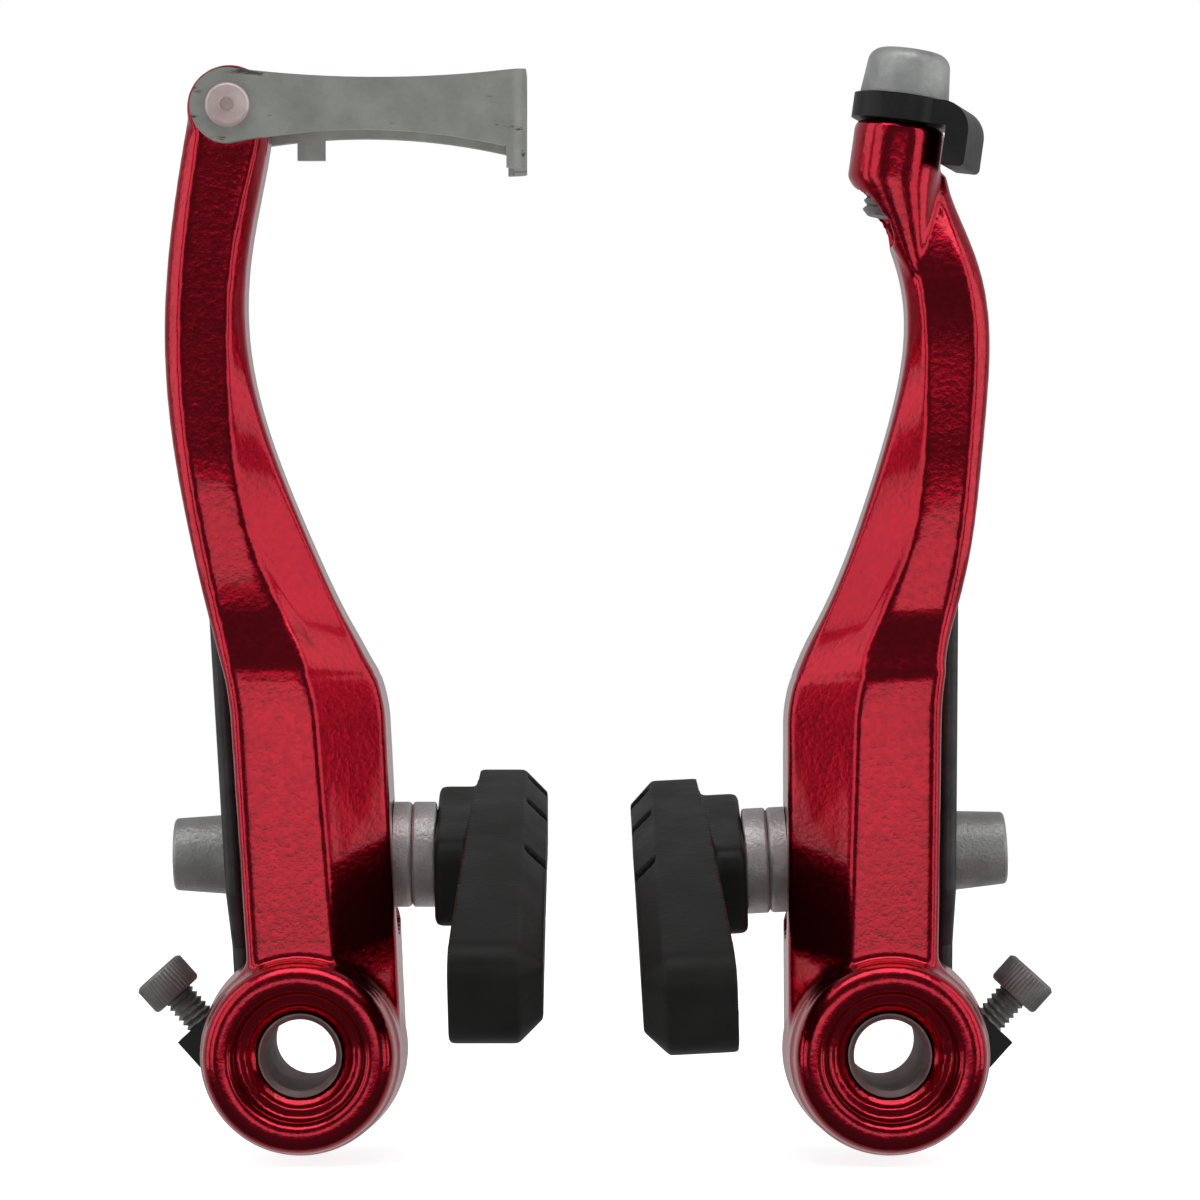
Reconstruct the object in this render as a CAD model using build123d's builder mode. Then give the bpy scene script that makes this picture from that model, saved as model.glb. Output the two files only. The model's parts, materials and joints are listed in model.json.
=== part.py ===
from build123d import *
import os
from collections import namedtuple
from math import cos, pi, radians, sin, sqrt, tan

# A pair of linear-pull (V) brake arms. Millimetres, +Z up, +Y towards the fork, -Y to the front.
# The origin lies midway between the two pivots, at pivot height.
# One side is modelled with its pivot axis on Y and +X pointing outwards. It stands on the right
# as it is, and on the left as its mirror image.

# Pivots
PIVOT_SPACING = 66.7
RIGHT_SWING = 3.0          # the right arm stands this many degrees further in
BOSS_DIAMETER = 8.0
RUNNING_CLEARANCE = 0.05
BUSH_WALL = 0.7
BUSH_MOUTH = 0.5
BUSH_FRONT = -7.6
BASE_PLANE = 13.0          # back end of the pivot, against the fork

# Drum and collar of the arm
DRUM_FRONT = -12.0
DRUM_BACK = 3.0
DRUM_RADIUS = 12.0
COLLAR_RADIUS = 10.7
COLLAR_ROUND = 2.0
LIP_ROUND = 1.1
RECESS_RADIUS = 7.3
RECESS_DEPTH = 3.6
STEP_RADIUS = 5.9
STEP_DEPTH = 0.9
DRUM_BACK_ROUND = 1.0

# Web that blends the outer flank into the drum
WEB_FRONT = -7.6
WEB_RADIUS = 11.4
WEB_OUT = 5.1
WEB_TOP_OUT = 6.5
WEB_HEIGHT = 22.0
WEB_ROUND = 4.0

# Sections of the arm, from the pivot up. outer, crease and inner are distances outwards.
Section = namedtuple("Section", "height outer edge crease inner fall front back")
PLATEAU = -9.0
ARM_BACK = 12.4
ARM_TOP_HALF = 4.5
SECTION_ROUND = 0.9
PIVOT_SECTION = Section(0.0, 5.3, 0.7, -4.9, -11.3, 6.0, PLATEAU, ARM_BACK)
BEND_HEIGHT = 43.0
BEND_SECTION = Section(BEND_HEIGHT, 8.2, 0.9, -1.2, -9.2, 5.8, PLATEAU, 11.2)
# above the bend a height is a part of the way from the bend to the top of the arm
UPPER_SECTIONS = [
    Section(0.155, 11.4, 1.3, 3.8, -3.0, 4.8, -8.0, 8.0),
    Section(0.31, 13.6, 1.5, 7.2, 1.3, 3.8, -7.1, 6.0),
    Section(0.48, 15.3, 1.7, 8.3, 5.1, 2.9, -6.2, 5.0),
    Section(0.65, 15.7, 1.8, 8.4, 6.6, 2.2, -5.4, 4.6),
]

# Link pivot at the top of the left arm
LINK_PIVOT_OUT = 8.3
LINK_PIVOT_HEIGHT = 107.6
HEAD_RADIUS = 4.9
HEAD_ROUND = 0.9
HEAD_INSET = 0.25          # the neck meets the head this far inside its faces
LEFT_SECTIONS = [
    Section(0.82, 14.8, 1.8, 7.0, 5.4, 2.0, -4.8, 4.4),
    Section(1.0, LINK_PIVOT_OUT + HEAD_RADIUS - HEAD_INSET, 1.5, 5.1,
            LINK_PIVOT_OUT - HEAD_RADIUS + HEAD_INSET, 1.6, HEAD_INSET - ARM_TOP_HALF,
            ARM_TOP_HALF - HEAD_INSET),
]

# Cable anchor at the top of the right arm
ANCHOR_OUT = 7.8
ANCHOR_HEIGHT = 108.7      # underside of the bolt head
ANCHOR_LEAN = 11.0
ANCHOR_BOSS_RADIUS = 5.2
ANCHOR_BOSS_LENGTH = 6.8
ANCHOR_BOSS_ROUND = 0.8
TONGUE_OUT = 7.95          # tip of the tongue below the boss
TONGUE_DROP = 20.6
TONGUE_DEPTH = -3.9
TONGUE_RADIUS = 0.8
RIGHT_SECTIONS = [
    Section(0.775, 13.7, 1.6, 6.9, 4.6, 1.9, -2.9, 4.4),
    Section(0.925, 13.3, 1.1, 4.8, 2.6, 1.5, -0.4, 4.4),
]

# Pad seat and slot
STUD_HEIGHT = 22.0
STUD_DEPTH = 6.3
STUD_DIAMETER = 6.0
SLOT_WIDTH = 6.4
PAD_TRAVEL = 3.0
SEAT_OUT = -10.1           # flat seat on the inner side
SEAT_WIDTH = 12.8
POCKET_FLOOR = 0.7         # flat seat on the outer side
POCKET_FRONT = -1.6
POCKET_ROUND = 1.5
SIDE_GAP = 0.3
PIN_CLEARANCE = 0.05

# Spherical washers
WASHER_DIAMETER = 12.2
WASHER_HOLE = 6.6
BALL_RADIUS = 12.0
CONVEX_RIM = 1.9
CONCAVE_RIM = 3.0
CONVEX_ROUND = 0.6
CONCAVE_ROUND = 0.35
BALL_GAP = 0.02

# Pad nut
NUT_LENGTH = 9.7
NUT_BASE_DIAMETER = 9.7
NUT_END_DIAMETER = 8.3
NUT_SOCKET = 5.0
NUT_SOCKET_DEPTH = 4.0
NUT_ROUND = 0.5
NUT_GAP = 0.05

# Pad, its depths and thickness measured from the braking face
PAD_FRONT = 39.0
PAD_REAR = 16.0
PAD_HEIGHT = 12.6
PAD_END_ROUND = 3.6
PAD_DEPTH_FRONT = 10.4
PAD_DEPTH_REAR = 7.9
PAD_THICKNESS = 12.7
PAD_BOSS_LENGTH = 22.0
PAD_BOSS_WIDTH = 10.8
PAD_BOSS_ROUND = 2.5
PAD_BOSS_EDGE = 0.8
PAD_ARCH = 210.0
PAD_BEVEL = 2.7
PAD_PITCH = 16.6
GROOVE_PLACES = [-12.5, 2.3, 11.5]
GROOVE_WIDTH = 1.6
GROOVE_DEPTH = 2.4
FLANGE_DIAMETER = 9.0
FLANGE_THICKNESS = 2.0
FLANGE_DEPTH = 2.0

# Return spring
WIRE_DIAMETER = 2.0
COIL_RADIUS = 6.9
COIL_DEPTH = 4.5
COIL_SWEEP = 285.0
LEG_LEAN = 3.43
LEG_FORWARD = -0.2         # depth of the long leg, in front of the nut
LEG_BEND_LOW = 11.6
LEG_BEND_HIGH = 18.0
LEG_TOP = 57.0
CHANNEL_START = 11.0
CHANNEL_TOP = 53.5
TIP_GAP = 0.15
WIRE_GAP = 0.4
SPRING_TAIL = 3.2

# Spring holder and stop plate
HOLDER_FRONT = 6.0
HOLDER_BACK = 11.4
HOLDER_RADIUS = 9.6
HUB_RADIUS = 5.6
HUB_FRONT = DRUM_BACK + SIDE_GAP
SPRING_ROOM = 10.6
PLATE_FRONT = 11.6
PLATE_RADIUS = 10.4
STOP_PIN_DIAMETER = 2.6
STOP_PIN_LENGTH = 4.0
STOP_PIN_RADIUS = 8.6

# Tension screw, its head centre outwards and above the pivot
SCREW_OUT = 16.45
SCREW_HEIGHT = 6.8
SCREW_ANGLE = 48.0         # below the horizontal, pointing inwards
SCREW_DIAMETER = 3.9
SCREW_HEAD_DIAMETER = 6.5
SCREW_HEAD_LENGTH = 3.7
SCREW_LENGTH = 9.8
SCREW_SOCKET = 3.0
SCREW_SOCKET_DEPTH = 1.8
SCREW_CHAMFER = 0.3
LUG_START = 5.85           # from the head centre
LUG_END = 13.5
LUG_HALF_WIDTH = 3.4

# Noodle link
SHEET = 1.4
LINK_GAP = 0.3
LINK_REACH = 33.8
LINK_END_RADIUS = 4.3
LINK_WAIST = 15.5
LINK_WAIST_TOP = 3.2
LINK_WAIST_BOTTOM = -2.7
LINK_WEB_TOP = 4.3
LINK_PLATE_BOTTOM = -4.6
LINK_WEB_BOTTOM = -7.0
LINK_BEND = 2.2
RIVET_DIAMETER = 4.0
RIVET_HEAD_DIAMETER = 5.1
RIVET_HEAD_HEIGHT = 1.0
RIVET_ROUND = 0.5
RIVET_GAP = 0.1
RIVET_DIMPLE = 0.35
RIVET_DIMPLE_DIAMETER = 1.6
NOODLE_HOLE = 5.5
CABLE_SLIT = 2.2
TAB_OUT = 8.8
TAB_WIDTH = 3.2
TAB_BOTTOM = -5.2

# Anchor bolt and plate
BOLT_DIAMETER = 6.0
BOLT_LENGTH = 13.8
BOLT_ROOM = 0.9            # round the bolt below its boss
BOLT_HEAD_DIAMETER = 10.3
BOLT_HEAD_TAPER = 6.0
BOLT_HEAD_HEIGHT = 5.5
BOLT_SOCKET = 5.0
BOLT_SOCKET_DEPTH = 3.0
BOLT_ROUND = 1.7
PLATE_THICKNESS = 2.8
PLATE_WIDTH = 11.0
PLATE_GAP = 0.1
PLATE_CORNER = 4.5
HOOK_TURN = 18.0           # the hook points this many degrees towards the front
HOOK_REACH = 9.0
HOOK_WIDTH = 7.8
HOOK_THICKNESS = 2.7
HOOK_DROP = 4.5
HOOK_ROUND = 3.4
HOOK_EDGE = 0.6

BORE_RADIUS = BOSS_DIAMETER / 2 + RUNNING_CLEARANCE
BUSH_RADIUS = BORE_RADIUS + BUSH_WALL
ARM_BORE = BUSH_RADIUS + RUNNING_CLEARANCE
RECESS_FLOOR = DRUM_FRONT + RECESS_DEPTH
BORE_STEPS = [(RECESS_RADIUS, RECESS_FLOOR), (STEP_RADIUS, RECESS_FLOOR + STEP_DEPTH),
              (ARM_BORE, BASE_PLANE)]
WASHER_STACK = CONVEX_RIM + CONCAVE_RIM
PAD_BACK = SEAT_OUT - WASHER_STACK - NUT_GAP
STUD_PLANE = Plane(origin=(0, STUD_DEPTH, STUD_HEIGHT), x_dir=(1, 0, 0), z_dir=(0, -1, 0))
STUD_AXIS = Axis((0, STUD_DEPTH, STUD_HEIGHT), (1, 0, 0))
WIRE_RADIUS = WIRE_DIAMETER / 2
ANCHOR_PLANE = Plane(
    origin=(ANCHOR_OUT, 0, ANCHOR_HEIGHT),
    x_dir=(cos(radians(ANCHOR_LEAN)), 0, -sin(radians(ANCHOR_LEAN))),
    z_dir=(sin(radians(ANCHOR_LEAN)), 0, cos(radians(ANCHOR_LEAN))),
)
SCREW_DEPTH = (HOLDER_FRONT + HOLDER_BACK) / 2
SCREW_PLANE = Plane(
    origin=(SCREW_OUT, SCREW_DEPTH, SCREW_HEIGHT),
    x_dir=(0, 1, 0),
    z_dir=(-cos(radians(SCREW_ANGLE)), 0, -sin(radians(SCREW_ANGLE))),
)


def across(out, depth=STUD_DEPTH, height=STUD_HEIGHT):
    """A plane square to the stud, its x axis along the depth and its z axis outwards."""
    return Plane(origin=(out, depth, height), x_dir=(0, 1, 0), z_dir=(1, 0, 0))


def section_sketch(section):
    """The rounded outline of the arm at one height."""
    with BuildSketch(Plane.XY.offset(section.height)) as outline:
        with BuildLine():
            Polyline(
                (section.outer - section.edge, section.front),
                (section.outer, section.front + section.edge),
                (section.outer, section.back),
                (section.inner, section.back),
                (section.inner, section.front + section.fall),
                (section.crease, section.front),
                close=True,
            )
        make_face()
        fillet(outline.vertices(), SECTION_ROUND)
    return outline.sketch


def leg_plane(height):
    """A plane square to the spring's leg at a height."""
    lean = radians(LEG_LEAN)
    return Plane(origin=(leg_out(height), LEG_FORWARD, height), x_dir=(0, 1, 0),
                 z_dir=(sin(lean), 0, cos(lean)))


def leg_out(height):
    """Distance outwards of the spring's leg at a height."""
    lean = radians(LEG_LEAN)
    return COIL_RADIUS / cos(lean) + height * tan(lean)


def make_arm(top, top_sections):
    """The forging with its drum, pad seat, pocket and spring channel, but no fitting at its top."""
    leg_room = WIRE_RADIUS + WIRE_GAP
    pocket_half = WASHER_DIAMETER / 2 + PAD_TRAVEL + SIDE_GAP
    upper = [BEND_SECTION]
    for section in UPPER_SECTIONS + top_sections:
        upper.append(section._replace(height=BEND_HEIGHT + section.height * (top - BEND_HEIGHT)))
    with BuildPart() as arm:
        loft([section_sketch(PIVOT_SECTION), section_sketch(BEND_SECTION)], ruled=True)
        loft([section_sketch(section) for section in upper])
        with BuildSketch(Plane.XY) as drum:
            with BuildLine():
                Polyline(
                    (0, DRUM_BACK),
                    (DRUM_RADIUS, DRUM_BACK),
                    (COLLAR_RADIUS, DRUM_FRONT),
                    (RECESS_RADIUS, DRUM_FRONT),
                    (RECESS_RADIUS, RECESS_FLOOR),
                    (0, RECESS_FLOOR),
                    close=True,
                )
            make_face()
            fillet(drum.vertices().sort_by_distance((COLLAR_RADIUS, DRUM_FRONT))[0], COLLAR_ROUND)
            fillet(drum.vertices().sort_by_distance((RECESS_RADIUS, DRUM_FRONT))[0], LIP_ROUND)
            fillet(drum.vertices().sort_by_distance((DRUM_RADIUS, DRUM_BACK))[0], DRUM_BACK_ROUND)
        revolve(axis=Axis.Y)
        # web that blends the outer flank into the drum
        with BuildSketch(Plane.XZ.offset(-WEB_FRONT)) as web:
            Circle(WEB_RADIUS)
            with BuildLine():
                Polyline((0, 0), (WEB_OUT, 0), (WEB_TOP_OUT, WEB_HEIGHT), (0, WEB_HEIGHT), close=True)
            make_face()
            corner = web.vertices().sort_by_distance((WEB_TOP_OUT, sqrt(WEB_RADIUS**2 - WEB_OUT**2)))[0]
            fillet(corner, WEB_ROUND)
        extrude(amount=WEB_FRONT - DRUM_BACK)
        # stepped bore
        for radius, floor in BORE_STEPS:
            with BuildSketch(Plane.XZ.offset(-DRUM_FRONT)):
                Circle(radius)
            extrude(amount=DRUM_FRONT - floor, mode=Mode.SUBTRACT)
        # room for the spring and its holder behind the drum
        with BuildSketch(Plane.XZ.offset(-DRUM_BACK)):
            Circle(SPRING_ROOM)
            with BuildLine():
                Polyline(
                    (leg_out(0) - leg_room, 0),
                    (leg_out(CHANNEL_START) - leg_room, CHANNEL_START),
                    (DRUM_RADIUS, CHANNEL_START),
                    (DRUM_RADIUS, 0),
                    close=True,
                )
            make_face()
        extrude(amount=DRUM_BACK - BASE_PLANE, mode=Mode.SUBTRACT)
        # channel for the leg of the spring, open to the outer side and the back
        with BuildSketch(Plane.XZ.offset(leg_room - LEG_FORWARD)):
            with BuildLine():
                Polyline(
                    (leg_out(CHANNEL_START) - leg_room, CHANNEL_START),
                    (leg_out(CHANNEL_TOP) - leg_room, CHANNEL_TOP),
                    (DRUM_RADIUS + HEAD_RADIUS, CHANNEL_TOP),
                    (DRUM_RADIUS + HEAD_RADIUS, CHANNEL_START),
                    close=True,
                )
            make_face()
        extrude(amount=LEG_FORWARD - leg_room - BASE_PLANE, mode=Mode.SUBTRACT)
        # hole that takes the tip of the leg
        with BuildSketch(leg_plane(CHANNEL_TOP - WIRE_RADIUS)):
            Circle(WIRE_RADIUS + TIP_GAP)
        extrude(amount=LEG_TOP - CHANNEL_TOP + WIRE_DIAMETER, mode=Mode.SUBTRACT)
        # pocket for the nut and the outer washers
        with BuildSketch(across(POCKET_FLOOR, (POCKET_FRONT + BASE_PLANE + POCKET_ROUND) / 2)):
            RectangleRounded(BASE_PLANE + POCKET_ROUND - POCKET_FRONT, 2 * pocket_half, POCKET_ROUND)
        extrude(amount=DRUM_RADIUS + HEAD_RADIUS - POCKET_FLOOR, mode=Mode.SUBTRACT)
        # flat seat on the inner side, then the slot through it
        with BuildSketch(across(SEAT_OUT)):
            SlotOverall(SEAT_WIDTH + 2 * PAD_TRAVEL, SEAT_WIDTH, rotation=90)
        extrude(amount=-SEAT_WIDTH / 2, mode=Mode.SUBTRACT)
        with BuildSketch(across(SEAT_OUT)):
            SlotOverall(SLOT_WIDTH + 2 * PAD_TRAVEL, SLOT_WIDTH, rotation=90)
        extrude(amount=POCKET_FLOOR - SEAT_OUT, mode=Mode.SUBTRACT)
    return arm.part


def make_left_arm():
    """The arm that carries the link: a round head with the rivet hole."""
    head_plane = Plane.XZ.offset(ARM_TOP_HALF)
    with BuildPart() as head:
        with BuildSketch(head_plane):
            with Locations((LINK_PIVOT_OUT, LINK_PIVOT_HEIGHT)):
                Circle(HEAD_RADIUS)
        extrude(amount=-2 * ARM_TOP_HALF)
        fillet(head.edges().filter_by(GeomType.CIRCLE), HEAD_ROUND)
    with BuildPart() as arm:
        add(make_arm(LINK_PIVOT_HEIGHT, LEFT_SECTIONS))
        add(head.part)
        with BuildSketch(head_plane):
            with Locations((LINK_PIVOT_OUT, LINK_PIVOT_HEIGHT)):
                Circle(RIVET_DIAMETER / 2 + PIN_CLEARANCE)
        extrude(amount=-2 * ARM_TOP_HALF, mode=Mode.SUBTRACT)
    return arm.part


def make_right_arm():
    """The arm that anchors the cable: a leaning boss with the bolt hole."""
    boss_top = -PLATE_GAP - PLATE_THICKNESS - PLATE_GAP
    hook_end = ANCHOR_PLANE.offset(boss_top - HOOK_DROP - SIDE_GAP)
    boss_foot = ANCHOR_PLANE.offset(boss_top - ANCHOR_BOSS_LENGTH)
    tip_point = Vector(TONGUE_OUT, TONGUE_DEPTH, ANCHOR_HEIGHT - TONGUE_DROP)
    tip = Plane(origin=tip_point, x_dir=ANCHOR_PLANE.x_dir, z_dir=boss_foot.origin - tip_point)
    with BuildPart() as boss:
        with BuildSketch(boss_foot):
            Circle(ANCHOR_BOSS_RADIUS)
        extrude(amount=ANCHOR_BOSS_LENGTH)
        fillet(boss.edges().sort_by(Axis.Z)[-1], ANCHOR_BOSS_ROUND)
        # tongue that runs down from the boss into the arm
        with BuildSketch(boss_foot):
            Circle(ANCHOR_BOSS_RADIUS)
        with BuildSketch(tip):
            Circle(TONGUE_RADIUS)
        loft()
    with BuildPart() as arm:
        add(make_arm(ANCHOR_HEIGHT, RIGHT_SECTIONS))
        with BuildSketch(hook_end):
            Circle(2 * DRUM_RADIUS)
        extrude(amount=DRUM_RADIUS, mode=Mode.SUBTRACT)
        add(boss.part)
        with BuildSketch(ANCHOR_PLANE.offset(boss_top)):
            Circle(BOLT_DIAMETER / 2 + RUNNING_CLEARANCE)
        extrude(amount=-ANCHOR_BOSS_LENGTH, mode=Mode.SUBTRACT)
        with BuildSketch(boss_foot):
            Circle(BOLT_DIAMETER / 2 + BOLT_ROOM)
        extrude(amount=-BOLT_LENGTH + ANCHOR_BOSS_LENGTH, mode=Mode.SUBTRACT)
    return arm.part


def make_bush():
    """Steel sleeve between the boss and the arm."""
    with BuildPart() as bush:
        with BuildSketch(Plane.XZ.offset(-BASE_PLANE)):
            Circle(BUSH_RADIUS)
            Circle(BORE_RADIUS, mode=Mode.SUBTRACT)
        extrude(amount=BASE_PLANE - BUSH_FRONT)
        chamfer(bush.edges().group_by(Axis.Y)[0].sort_by(SortBy.RADIUS)[0], BUSH_MOUTH)
    return bush.part


def make_spring_holder(swing):
    """Plastic hub and flange with the lug for the tension screw and a hole for the spring's tail."""
    tail_angle = radians(-LEG_LEAN - COIL_SWEEP + swing)
    with BuildPart() as holder:
        with BuildSketch(Plane.XZ.offset(-HUB_FRONT)):
            Circle(HUB_RADIUS)
        extrude(amount=HUB_FRONT - HOLDER_BACK)
        with BuildSketch(Plane.XZ.offset(-HOLDER_FRONT)):
            Circle(HOLDER_RADIUS)
        extrude(amount=HOLDER_FRONT - HOLDER_BACK)
        with BuildSketch(SCREW_PLANE.offset(LUG_START)):
            Rectangle(HOLDER_BACK - HOLDER_FRONT, 2 * LUG_HALF_WIDTH)
        extrude(amount=LUG_END - LUG_START)
        with BuildSketch(Plane.XZ.offset(-HUB_FRONT)):
            Circle(BUSH_RADIUS + RUNNING_CLEARANCE)
        extrude(amount=HUB_FRONT - HOLDER_BACK, mode=Mode.SUBTRACT)
        with BuildSketch(SCREW_PLANE):
            Circle(SCREW_DIAMETER / 2 + RUNNING_CLEARANCE)
        extrude(amount=SCREW_HEAD_LENGTH / 2 + SCREW_LENGTH + SIDE_GAP, mode=Mode.SUBTRACT)
        with BuildSketch(Plane.XZ.offset(-HOLDER_FRONT)):
            with Locations((COIL_RADIUS * cos(tail_angle), COIL_RADIUS * sin(tail_angle))):
                Circle(WIRE_RADIUS + SIDE_GAP)
        extrude(amount=HOLDER_FRONT - HOLDER_BACK, mode=Mode.SUBTRACT)
    return holder.part


def make_stop_plate():
    """Steel plate at the back of the pivot, with the pin that locates it on the fork."""
    with BuildPart() as plate:
        with BuildSketch(Plane.XZ.offset(-PLATE_FRONT)):
            Circle(PLATE_RADIUS)
            Circle(BUSH_RADIUS + RUNNING_CLEARANCE, mode=Mode.SUBTRACT)
        extrude(amount=PLATE_FRONT - BASE_PLANE)
        with BuildSketch(Plane.XZ.offset(-PLATE_FRONT)):
            with Locations((-STOP_PIN_RADIUS, 0)):
                Circle(STOP_PIN_DIAMETER / 2)
        extrude(amount=PLATE_FRONT - BASE_PLANE - STOP_PIN_LENGTH)
    return plate.part


def make_spring():
    """One coil round the hub, a tail into the holder and a joggled leg up the arm."""
    lean = radians(LEG_LEAN)
    tail_angle = radians(-LEG_LEAN - COIL_SWEEP)
    joints = [
        Vector(COIL_RADIUS * cos(lean), COIL_DEPTH, -COIL_RADIUS * sin(lean)),
        Vector(leg_out(LEG_BEND_LOW), COIL_DEPTH, LEG_BEND_LOW),
        Vector(leg_out(LEG_BEND_HIGH), LEG_FORWARD, LEG_BEND_HIGH),
        Vector(leg_out(LEG_TOP), LEG_FORWARD, LEG_TOP),
    ]
    tail = Vector(COIL_RADIUS * cos(tail_angle), COIL_DEPTH, COIL_RADIUS * sin(tail_angle))
    runs = list(zip(joints, joints[1:])) + [(tail, tail + Vector(0, SPRING_TAIL, 0))]
    with BuildPart() as spring:
        with BuildSketch(Plane(origin=joints[0], x_dir=(0, 1, 0), z_dir=joints[1] - joints[0])):
            Circle(WIRE_RADIUS)
        revolve(axis=Axis.Y, revolution_arc=COIL_SWEEP)
        for first, last in runs:
            with BuildSketch(Plane(origin=first, z_dir=last - first)):
                Circle(WIRE_RADIUS)
            extrude(amount=(last - first).length)
        with Locations(joints[1], joints[2], tail):
            Sphere(WIRE_RADIUS)
    return spring.part


def make_tension_screw():
    """Socket-head screw in the lug of the spring holder."""
    half_head = SCREW_HEAD_LENGTH / 2
    with BuildPart() as screw:
        with BuildSketch(SCREW_PLANE.offset(-half_head)):
            Circle(SCREW_HEAD_DIAMETER / 2)
        extrude(amount=SCREW_HEAD_LENGTH)
        chamfer(screw.edges().filter_by(GeomType.CIRCLE), SCREW_CHAMFER)
        with BuildSketch(SCREW_PLANE.offset(half_head)):
            Circle(SCREW_DIAMETER / 2)
        extrude(amount=SCREW_LENGTH)
        with BuildSketch(SCREW_PLANE.offset(-half_head)):
            RegularPolygon(SCREW_SOCKET / 2, 6, major_radius=False)
        extrude(amount=SCREW_SOCKET_DEPTH, mode=Mode.SUBTRACT)
    return screw.part


def make_convex_washer(seat, way):
    """Washer with a flat face on its seat and a domed face, way being +1 outwards or -1 inwards."""
    rim = WASHER_DIAMETER / 2
    hole = WASHER_HOLE / 2
    ball = seat + way * (CONVEX_RIM - sqrt(BALL_RADIUS**2 - rim**2))
    middle = (rim + hole) / 2
    with BuildPart() as washer:
        with BuildSketch(STUD_PLANE) as profile:
            with BuildLine():
                low = Polyline((ball + way * sqrt(BALL_RADIUS**2 - hole**2), hole), (seat, hole),
                               (seat, rim), (seat + way * CONVEX_RIM, rim))
                ThreePointArc(low @ 1, (ball + way * sqrt(BALL_RADIUS**2 - middle**2), middle), low @ 0)
            make_face()
            corner = profile.vertices().sort_by_distance((seat + way * CONVEX_RIM, rim))[0]
            fillet(corner, CONVEX_ROUND)
        revolve(axis=STUD_AXIS)
    return washer.part


def make_concave_washer(seat, way):
    """Washer with a cup that fits the dome of its neighbour and a flat face for the nut or the pad."""
    rim = WASHER_DIAMETER / 2
    hole = WASHER_HOLE / 2
    ball = seat + way * (CONVEX_RIM - sqrt(BALL_RADIUS**2 - rim**2))
    cup = BALL_RADIUS + BALL_GAP
    flat = seat + way * WASHER_STACK
    middle = (rim + hole) / 2
    with BuildPart() as washer:
        with BuildSketch(STUD_PLANE) as profile:
            with BuildLine():
                low = Polyline((ball + way * sqrt(cup**2 - hole**2), hole), (flat, hole),
                               (flat, rim), (ball + way * sqrt(cup**2 - rim**2), rim))
                ThreePointArc(low @ 1, (ball + way * sqrt(cup**2 - middle**2), middle), low @ 0)
            make_face()
            fillet(profile.vertices().group_by(Axis.Z)[-1], CONCAVE_ROUND)
        revolve(axis=STUD_AXIS)
    return washer.part


def make_pad_nut():
    """Conical nut with a hexagon socket in its outer end."""
    start = POCKET_FLOOR + WASHER_STACK + NUT_GAP
    end = start + NUT_LENGTH
    with BuildPart() as nut:
        with BuildSketch(STUD_PLANE) as profile:
            with BuildLine():
                Polyline((start, 0), (start, NUT_BASE_DIAMETER / 2), (end, NUT_END_DIAMETER / 2),
                         (end, 0), close=True)
            make_face()
            fillet(profile.vertices().sort_by_distance((end, NUT_END_DIAMETER / 2))[0], NUT_ROUND)
        revolve(axis=STUD_AXIS)
        with BuildSketch(across(start)):
            Circle(STUD_DIAMETER / 2 + PIN_CLEARANCE)
        extrude(amount=NUT_LENGTH - NUT_SOCKET_DEPTH, mode=Mode.SUBTRACT)
        with BuildSketch(across(end)):
            RegularPolygon(NUT_SOCKET / 2, 6, major_radius=False)
        extrude(amount=-NUT_SOCKET_DEPTH, mode=Mode.SUBTRACT)
    return nut.part


def make_pad_stud():
    """Threaded post, its flange held inside the pad."""
    nut_end = POCKET_FLOOR + WASHER_STACK + NUT_GAP + NUT_LENGTH
    flange = PAD_BACK - FLANGE_DEPTH
    with BuildPart() as stud:
        with BuildSketch(across(flange - FLANGE_THICKNESS)):
            Circle(FLANGE_DIAMETER / 2)
        extrude(amount=FLANGE_THICKNESS)
        with BuildSketch(across(flange)):
            Circle(STUD_DIAMETER / 2)
        extrude(amount=nut_end - NUT_SOCKET_DEPTH - NUT_ROUND - flange)
    return stud.part


def arch_point(along, height):
    """A point of the pad's arched outline, from the stud along the arch and up from its middle."""
    angle = along / PAD_ARCH
    return ((PAD_ARCH + height) * sin(angle), (PAD_ARCH + height) * cos(angle) - PAD_ARCH)


def arched_band(plane, front, back, width, corner=0.0):
    """A band of the arch, from front to back of the stud, with rounded corners if asked."""
    half = width / 2
    middle = (back - front) / 2
    with BuildSketch(plane) as band:
        with BuildLine():
            top = ThreePointArc(arch_point(-front, half), arch_point(middle, half), arch_point(back, half))
            low = ThreePointArc(arch_point(back, -half), arch_point(middle, -half),
                                arch_point(-front, -half))
            Line(top @ 1, low @ 0)
            Line(low @ 1, top @ 0)
        make_face()
        if corner:
            fillet(band.vertices(), corner)
    return band.sketch


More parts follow.
